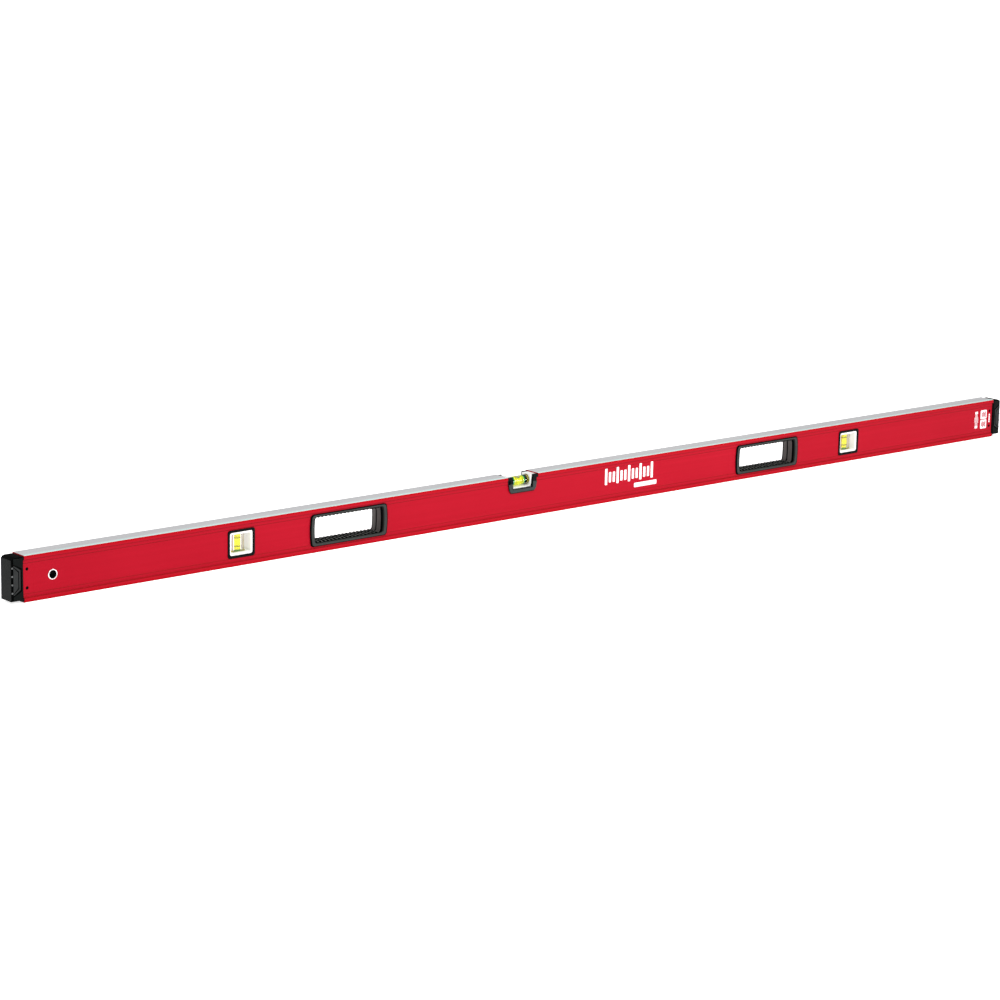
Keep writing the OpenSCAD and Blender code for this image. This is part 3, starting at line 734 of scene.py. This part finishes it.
def plumb_carrier(node):
    """The white surround of a plumb vial: rounded rims on both faces and a pocket right through, its walls
    a greyer white as painted shade.
    """
    centre, width, height = section(node)
    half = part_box(node)[1].y / MM
    pocket_w, pocket_h = width - 2 * RIM_SIDE, height - 2 * RIM_CROSS
    side = [
        (width, height, 2, half - 0.5),
        (width - 0.4, height - 0.4, 2, half - 0.1),
        (width - 1.0, height - 1.0, 2, half),
        (pocket_w + 1.8, pocket_h + 1.8, 1.9, half),
        (pocket_w + 0.6, pocket_h + 0.6, 1.7, half - 0.3),
        (pocket_w, pocket_h, 1.5, half - 1.1),
    ]
    rings = [(w, h, r, depth) for w, h, r, depth in side]
    rings += [(w, h, r, -depth) for w, h, r, depth in reversed(side)]
    rows = [at_depth(rounded_outline(w, h, r), centre, depth) for w, h, r, depth in rings]
    piece = outline_piece(node + "_detailed", skin(rows), [WHITE, SHADED_POCKET], sharp=50)
    # The pocket's walls take the greyer white, painted shade
    zoned(piece, len(rows[0]), [1 if i == len(side) - 1 else 0 for i in range(len(rings))])
    return stand_for(piece, node)


def plumb_block(node):
    """The clear block on its foot: frosted sides and top, olive foot, amber corners, all three glowing a
    little as painted light.
    """
    low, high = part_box(node)
    foot_w, depth, tall = (high.x - low.x) / MM, (high.y - low.y) / MM, (high.z - low.z) / MM
    half, foot = foot_w / 2 - FOOT_STEP, foot_w / 2
    shape = [(-foot, 0), (foot, 0), (foot, FOOT_H), (half, FOOT_H), (half, tall), (-half, tall),
             (-half, FOOT_H), (-foot, FOOT_H)]
    base = Vector(((low.x + high.x) / 2, 0, low.z))
    bm = skin([at_depth(shape, base, y) for y in (-depth / 2, depth / 2)], loop=False)
    round_edges(bm, 0.3)
    corner = (depth / 2 - TINTED_CORNER) * MM
    for place in (-corner, corner):
        cut_faces(bm, 1, place)
    materials = [ACRYLIC, FROSTED, OLIVE, AMBER_EDGE]
    piece = outline_piece(node + "_detailed", bm, materials)
    for face in piece.data.polygons:
        on_side = abs(face.normal.x) > 0.5
        if face.center.z < base.z + (FOOT_H + 0.1) * MM:
            face.material_index = materials.index(OLIVE)
        elif on_side and abs(face.center.y) > corner:
            face.material_index = materials.index(AMBER_EDGE)
        elif on_side or face.normal.z > 0.5:
            face.material_index = materials.index(FROSTED)
    weighted(piece)
    stand_for(piece, node)


def plumb_fluid(node):
    """The liquid, with a rounded top."""
    low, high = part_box(node)
    radius, tall = (high.x - low.x) / 2 / MM + VIAL_FLARE, (high.z - low.z) / MM
    profile = [(radius - 0.5, 0), (radius, 0.4), (radius, tall - 1.2), (radius - 0.4, tall - 0.4),
               (radius - 1.2, tall)]
    upright(node, profile, LIQUID)


def plumb_bubble(node):
    """The air bubble, blunt above and rounder below."""
    low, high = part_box(node)
    radius, tall = (high.x - low.x) / 2 / MM, (high.z - low.z) / MM
    profile = [(0.25 * radius, 0.1), (0.6 * radius, 0.35), (0.85 * radius, 0.9), (0.97 * radius, 1.7),
               (radius, 0.55 * tall), (0.97 * radius, tall - 1.1), (0.86 * radius, tall - 0.4),
               (0.7 * radius, tall - 0.1), (0.5 * radius, tall)]
    upright(node, profile, AIR, sharp=80)


def upright(node, profile, material, sharp=CRISP_ANGLE):
    """A solid turned about a vertical axis, standing on the bottom of the node's box."""
    low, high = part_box(node)
    base = Vector(((low.x + high.x) / 2, 0, low.z))
    bm = skin(turned(base, (0, 0, 1), profile), loop=False)
    stand_for(outline_piece(node + "_detailed", bm, [material], sharp), node)


def plumb_vial(side):
    """Clear block on its foot, with the liquid, the stopper, the rings and the bubble inside."""
    plumb_block(side + "_plumb_block")
    plumb_fluid(side + "_plumb_fluid")
    plumb_bubble(side + "_plumb_bubble")
    refined(side + "_plumb_plug", [GREEN_PLUG], width=0.25)
    rings = side + "_plumb_rings"
    low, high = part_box(rings)
    radius = (high.x - low.x) / 2 / MM + VIAL_FLARE
    join_rings(rings, Vector((middle(rings).x, 0, 0)), (0, 0, 1), radius, PLUMB_RING_W,
               (low.z / MM + PLUMB_RING_INSET, high.z / MM - PLUMB_RING_INSET))


def join_rings(node, centre, axis, radius, width, places):
    """The two printed reading rings of a vial, just outside its liquid, as one piece."""
    bm = bmesh.new()
    for place in places:
        profile = [(radius + RING_IN, place - width / 2), (radius + RING_IN, place + width / 2),
                   (radius + RING_OUT, place + width / 2), (radius + RING_OUT, place - width / 2)]
        ring = skin(turned(centre, axis, profile))
        part = bpy.data.meshes.new("part")
        ring.to_mesh(part)
        ring.free()
        bm.from_mesh(part)
        bpy.data.meshes.remove(part)
    stand_for(outline_piece(node + "_detailed", bm, [RING_INK]), node)


# Level vial

# A collar: how far it stands out of the tube, how far from the vial's middle it starts, and its
# length towards the middle
COLLAR_STAND = 0.6
COLLAR_AT = 16.97
COLLAR_W = 1.4
# The outer part of each stopper, this long, is dark; the rest, next to the liquid, is a green seal
PLUG_DARK = 4.2
# Width of a reading ring, and how much further out than in CAD it is drawn, to clear the bubble
LEVEL_RING_W = 0.6
LEVEL_RING_CLEAR = 0.02
# The bubble's top lies this far outside the liquid's surface, and its rim is this thick
BUBBLE_PROUD = 0.015
BUBBLE_RIM = 0.1
# It is this share of the CAD bubble's height deep, and reaches this many radians to each side
BUBBLE_DEPTH = 0.8
BUBBLE_LEAN = 0.8
# It is painted dark, as shade, from this share of its reach out to its rim
BUBBLE_DARK = 0.8


def level_tube(node):
    """The clear tube with a collar near each end."""
    low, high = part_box(node)
    half = (high.x - low.x) / 2 / MM
    radius = (high.z - middle(node).z) / MM - COLLAR_STAND
    collar, start, end = radius + COLLAR_STAND, -COLLAR_AT, -COLLAR_AT + COLLAR_W
    profile = [(radius - 0.6, -half), (radius, -half + 0.6), (radius, start - 0.02), (radius, start),
               (collar - 0.15, start), (collar, start + 0.15), (collar, end - 0.15), (collar - 0.15, end),
               (radius, end)]
    profile += [(r, -along) for r, along in reversed(profile)]
    lengthwise(node, profile, ACRYLIC)


def level_fluid(node):
    """The liquid, with rounded ends."""
    low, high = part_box(node)
    radius, half = (high.z - low.z) / 2 / MM, (high.x - low.x) / 2 / MM
    profile = [(radius - 0.3, -half), (radius, -half + 0.3), (radius, half - 0.3), (radius - 0.3, half)]
    lengthwise(node, profile, LEVEL_LIQUID)


def lengthwise(node, profile, material):
    """A solid turned about the line along the beam through the middle of the node's box."""
    bm = skin(turned(middle(node), (1, 0, 0), profile, MANY_POINTS), loop=False)
    stand_for(outline_piece(node + "_detailed", bm, [material]), node)


def level_bubble(node, fluid):
    """An oval lens of air against the wall of its vial, with painted shade where its rim meets the liquid.

    A ring's share is its distance from the middle of the bubble, where the rim is 1. The rings run
    out to the rim along the wall and back below it.
    """
    low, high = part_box(node)
    origin = Vector((middle(node).x, middle(fluid).y, middle(fluid).z))
    bore = section(fluid)[2] / 2
    reach = (high.x - low.x) / 2 / MM
    top, deep = bore + BUBBLE_PROUD, BUBBLE_DEPTH * (high.z - low.z) / MM
    outside = [(share, top) for share in [0.03] + [i / 10 for i in range(1, 11)]]
    inside = [(share, top - BUBBLE_RIM - (deep - BUBBLE_RIM) * math.sqrt(1 - share ** 2))
              for share in (1, 0.94, 0.8, 0.6, 0.35, 0.1)]
    rings = []
    for share, radius in outside + inside:
        ring = []
        for i in range(FEW_POINTS):
            turn = 2 * math.pi * i / FEW_POINTS
            lean = BUBBLE_LEAN * share * math.sin(turn)
            ring.append(origin + MM * Vector((
                reach * share * math.cos(turn), radius * math.sin(lean), radius * math.cos(lean))))
        rings.append(ring)
    piece = outline_piece(node + "_detailed", skin(rings, loop=False), [LEVEL_BUBBLE_LIT, BUBBLE_RIM_SHADE], sharp=80)
    # The rim is painted shade
    dark = [share >= BUBBLE_DARK for share, _ in outside] + [share > BUBBLE_DARK for share, _ in inside]
    zoned(piece, FEW_POINTS, [int(zone) for zone in dark])
    stand_for(piece, node)


def level_plugs(node):
    """The two stoppers, dark outside and green next to the liquid."""
    low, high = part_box(node)
    centre_x, seal = middle(node).x, (high.x - low.x) / 2 - PLUG_DARK * MM

    def next_to_liquid(face):
        return 1 if abs(face.center.x - centre_x) < seal else 0

    refined(node, [DARK_PLUG, GREEN_SEAL], width=0.25, choose=next_to_liquid,
            cuts=[(0, centre_x + sign * seal) for sign in (-1, 1)])


def level_vial():
    """The clear tube with its collars, and the liquid, bubble, stoppers, end discs and rings inside."""
    level_tube("level_tube")
    level_fluid("level_fluid")
    level_bubble("level_bubble", "level_fluid")
    level_plugs("level_plugs")
    refined("level_tube_ends", [AMBER], width=0.25)
    rings = "level_rings"
    low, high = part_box(rings)
    reach = (high.x - low.x) / 2 / MM - LEVEL_RING_W / 2
    join_rings(rings, middle(rings), (1, 0, 0), (high.z - low.z) / 2 / MM + LEVEL_RING_CLEAR, LEVEL_RING_W,
               (-reach, reach))


# The bezel's ears reach this far down from its top, and its rims are this wide; the window's half
# width and the height of its lower edge
EAR_H = 9.6
LIP_EDGE = 0.9
OPENING_HALF = 17.6
OPENING_LOW_Z = 41.8


def level_bezel(node, facing):
    """Black plastic, drawn charcoal as painted light on the flat front below the ears; black round its rim,
    on the ears and in the steps.
    """
    low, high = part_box(node)
    front = max(abs(low.y), abs(high.y))
    centre_x = (low.x + high.x) / 2
    ear_z = high.z - EAR_H * MM
    rim_x = (high.x - low.x) / 2 - LIP_EDGE * MM
    rim_z = low.z + LIP_EDGE * MM
    inner_x = (OPENING_HALF + LIP_EDGE) * MM
    inner_z = (OPENING_LOW_Z - LIP_EDGE) * MM

    # Charcoal, painted light, on the flat front; black elsewhere
    def choose(face):
        on_front = abs(face.center.y) > front - 0.1 * MM and face.normal.y * facing > 0.7
        across, height = abs(face.center.x - centre_x), face.center.z
        in_bar = rim_z < height < inner_z
        in_post = inner_x < across < rim_x and rim_z < height < ear_z
        return 0 if on_front and (in_post or in_bar and across < rim_x) else 1

    cuts = [(2, ear_z), (2, rim_z), (2, inner_z)]
    cuts += [(0, centre_x + sign * place) for sign in (-1, 1) for place in (rim_x, inner_x)]
    refined(node, [LIT_CHARCOAL, BLACK], width=0.3, choose=choose, cuts=cuts)


# Hang hole

# A ring's bore, the wall of its barrel, how far from the middle plane the barrel ends, and how much
# smaller in radius the ring is drawn than in CAD
RING_BORE = 5.3
RING_WALL = 1
RING_INNER = 8.8
RING_TRIM = 0.5


def hang_hole():
    """The bright ring on each face, near black as painted shade on the wall of its bore, and the sleeve
    between the two.
    """
    for face, facing in FACES:
        node = f"hang_hole_{face}_ring"
        centre, width, _ = section(node)
        outer = width / 2 - RING_TRIM
        barrel = RING_BORE + RING_WALL
        profile = [(RING_BORE, RING_INNER), (RING_BORE, WEB + 0.2), (RING_BORE + 0.15, WEB + 0.55),
                   (RING_BORE + 0.5, WEB + 0.7), (outer - 0.5, WEB + 0.62), (outer - 0.15, WEB + 0.45),
                   (outer, WEB + 0.15), (outer, WEB), (barrel, WEB), (barrel, RING_INNER)]
        rings = turned(centre, (0, facing, 0), profile, MANY_POINTS)
        piece = outline_piece(node + "_detailed", skin(rings), [BRIGHT, DEEP_BLACK_AND_SHADE], sharp=50)
        # The wall of the ring's bore is near black, painted shade
        zoned(piece, MANY_POINTS, [1] + [0] * (len(profile) - 1))
        stand_for(piece, node)
    refined("hang_hole_sleeve", [DEEP_BLACK_AND_SHADE], width=0.2)


# End caps

# Slots in a bumper's outer corners, the depth of the grooves in its sides, half the height that they
# cover, and the length of the part of its side that is lighter as painted light
SLOT_X = 2.6
SLOT_Y = 1.7
GROOVE = 1.0
PANEL_REACH = 20.7
LIT_SIDE_X = 7.6
# The bumper's rounded rims are this wide, and a face this near a plane counts as on it
BUMPER_RIM = 0.3
NEAR = 0.05
NUB_TIP_Y = 9.2
BUMPER_MATERIALS = [RUBBER, DEEP_BLACK_AND_SHADE, LIT_TOOTH_RUBBER, LIT_PANEL_RUBBER, SHADED_FLANK]
PLAIN, SHADED_HOLLOW, LIT_TOOTH, LIT_RAISED_SIDE, SHADED_LOW_SIDE = range(5)


def shaded_nub_tip(face):
    """The ends of a clip's nubs, which sit in the snap holes, are near black as painted shade, darker than
    its leaves.
    """
    return 1 if abs(face.center.y) > NUB_TIP_Y * MM else 0


def bumper_finish(outer, half):
    """What a face of a bumper looks like; outer and half are the bumper's far end and half its depth.

    It is dark rubber: near black as painted shade in the corner slots, grooves and upper slope, lighter as
    painted light on the raised sides and teeth, and darker as painted shade on the other sides.
    """
    slot_x, slot_y = outer - SLOT_X, half - SLOT_Y

    def choose(face):
        x, y = abs(face.center.x) / MM, abs(face.center.y) / MM
        from_middle = abs(face.center.z / MM - MID_Z)
        # Corner slots near black as painted shade; teeth lighter as painted light
        if x > slot_x - NEAR and y > slot_y - NEAR:
            on_tooth = (slot_x + BUMPER_RIM < x < outer - BUMPER_RIM
                        and slot_y + BUMPER_RIM < y < half - BUMPER_RIM)
            on_rim = x > outer - BUMPER_RIM or y > half - BUMPER_RIM
            return LIT_TOOTH if on_tooth else PLAIN if on_rim else SHADED_HOLLOW
        if half - GROOVE - NEAR < y < half - 0.2 and from_middle < PANEL_REACH and x < outer - 0.1:
            return SHADED_HOLLOW
        # The upper slope is near black, painted shade
        if face.normal.z > 0.3 and face.center.z > 50 * MM:
            return SHADED_HOLLOW
        if abs(face.normal.y) < 0.8:
            return PLAIN
        # Raised sides lighter as painted light; the other sides darker as painted shade
        return LIT_RAISED_SIDE if y > half - 0.2 and x > outer - LIT_SIDE_X else SHADED_LOW_SIDE

    return choose


def end_cap(side):
    """The plug, its spring clip and the bumper of one end."""
    refined(f"{side}_end_plug", [BLACK], width=0.3)
    refined(f"{side}_end_clip", [BLACKENED, DEEP_BLACK_AND_SHADE], width=0.15, choose=shaded_nub_tip)
    node = f"{side}_end_bumper"
    low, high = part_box(node)
    outer = max(abs(low.x), abs(high.x)) / MM
    refined(node, BUMPER_MATERIALS, width=0.35, segments=3, choose=bumper_finish(outer, high.y / MM))


# Beam

# The cavity's half width and half height; the snap holes' distance from the beam's middle, along it
# and up or down, and a radius that holds their rims; where the milled edges stop, and how far in from
# the top and bottom they reach
CAVITY_Y = WEB - 2.2
CAVITY_Z = 26
SNAP_X = 892.1
SNAP_Z = 12
SNAP_R = 2.4
MILL_X = 897.4
MILL_Z = 0.35
BEAM_MATERIALS = [PAINT, MILLED, DEEP_BLACK_AND_SHADE, UNPAINTED]
PAINTED, EDGE_MILLED, SHADED_HOLE, BARE_INSIDE = range(4)


def beam_finish(face):
    """Milled top and bottom, snap holes near black as painted shade, bare metal inside and paint everywhere
    else.
    """
    x, y = abs(face.center.x) / MM, abs(face.center.y) / MM
    from_middle = abs(face.center.z / MM - MID_Z)
    # Near black on the walls of the snap holes: painted shade
    if math.hypot(x - SNAP_X, from_middle - SNAP_Z) < SNAP_R:
        return SHADED_HOLE
    if y < CAVITY_Y + 0.1 and from_middle < CAVITY_Z + 0.1 and abs(face.normal.x) < 0.3:
        return BARE_INSIDE
    milled = from_middle > MID_Z - MILL_Z and abs(face.normal.z) > 0.3 and x < MILL_X
    return EDGE_MILLED if milled else PAINTED


# Printed marks: plain shapes, with no letters

# Thickness of a layer of ink, and sizes and places of the marks, all in mm
INK = 0.06
BAR_COUNT = 13
BAR_X = 70
BAR_PITCH = 7.4
BAR_W = 4.4
# Middle height and length of a tall bar and of a low one
TALL_BAR = (37.5, 24)
LOW_BAR = (36, 15)
STRIP_COUNT = 13
STRIP_X = 861.5
STRIP_Z = 22.4
STRIP_PITCH = 1.3
STRIP_ENDS_Z = (19.2, 41.6)
CELL_X = 878.5
CELL_W = 14.3
CELL_H = 14.2
CELLS_Z = (22.2, 37.6)
TAB_X = 892.2


def printed(name, shapes, material, under=0):
    """A thin layer of ink on the front web, or on the ink under it; a shape is a list of (x, z) in mm."""
    bm = bmesh.new()
    for shape in shapes:
        near = [bm.verts.new((x * MM, -(WEB + under + INK) * MM, z * MM)) for x, z in shape]
        far = [bm.verts.new((x * MM, -(WEB + under) * MM, z * MM)) for x, z in shape]
        bm.faces.new(near)
        bm.faces.new(list(reversed(far)))
        for i in range(len(shape)):
            j = (i + 1) % len(shape)
            bm.faces.new((near[i], near[j], far[j], far[i]))
    piece = outline_piece(name, bm, [material])
    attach(piece, "beam")


def panel(x, z, width, height, radius):
    """A rounded rectangle round a point on the web."""
    return [(x + px, z + pz) for px, pz in rounded_outline(width, height, radius)]


def marks():
    """A row of graduation bars with a short rule under it, a fine barred strip and two ticked cells."""
    bars = []
    for i in range(BAR_COUNT):
        z, tall = LOW_BAR if i % 3 else TALL_BAR
        bars.append(panel(BAR_X + BAR_PITCH * i, z, BAR_W, tall, 1.1))
    bars.append(panel(146.5, 18.5, 44, 6.4, 1.2))
    printed("middle_mark", bars, WHITE_INK)
    right = [panel(STRIP_X, STRIP_Z + STRIP_PITCH * i, 9 if 2 < i < 10 else 6, 0.55, 0.2)
             for i in range(STRIP_COUNT)]
    right += [panel(STRIP_X, z, 6.4, 4.4, 1.4) for z in STRIP_ENDS_Z]
    right += [panel(CELL_X, z, CELL_W, CELL_H, 1.5) for z in CELLS_Z]
    right += [panel(TAB_X, 30.5, 3, 13.6, 0.8)]
    printed("right_mark", right, WHITE_INK)
    ticks = []
    for z in CELLS_Z:
        ticks += [panel(CELL_X - 3.9 + 2.6 * i, z, 1.8, 9.4 if i % 2 else 6.4, 0.6) for i in range(4)]
    ticks += [panel(TAB_X, 27 + 3.5 * i, 2.4, 1.1, 0.4) for i in range(3)]
    printed("right_mark_ticks", ticks, RED_INK, under=INK)


# The object

def main():
    bpy.context.scene.view_settings.view_transform = "Standard"
    make_camera()
    make_world()
    make_floor()
    for lamp in LAMPS:
        area_light(*lamp)
    refined("frame", BEAM_MATERIALS, width=0.18, choose=beam_finish)
    hang_hole()
    for side in SIDES:
        for face, facing in FACES:
            hold_shell(f"{side}_hold_{face}_shell", facing)
            plumb_bezel(f"{side}_plumb_{face}_bezel", facing)
        plumb_carrier(f"{side}_plumb_carrier")
        plumb_vial(side)
        end_cap(side)
    for face, facing in FACES:
        level_bezel(f"level_{face}_bezel", facing)
    refined("level_carrier", [WHITE], width=0.3)
    level_vial()
    marks()


main()
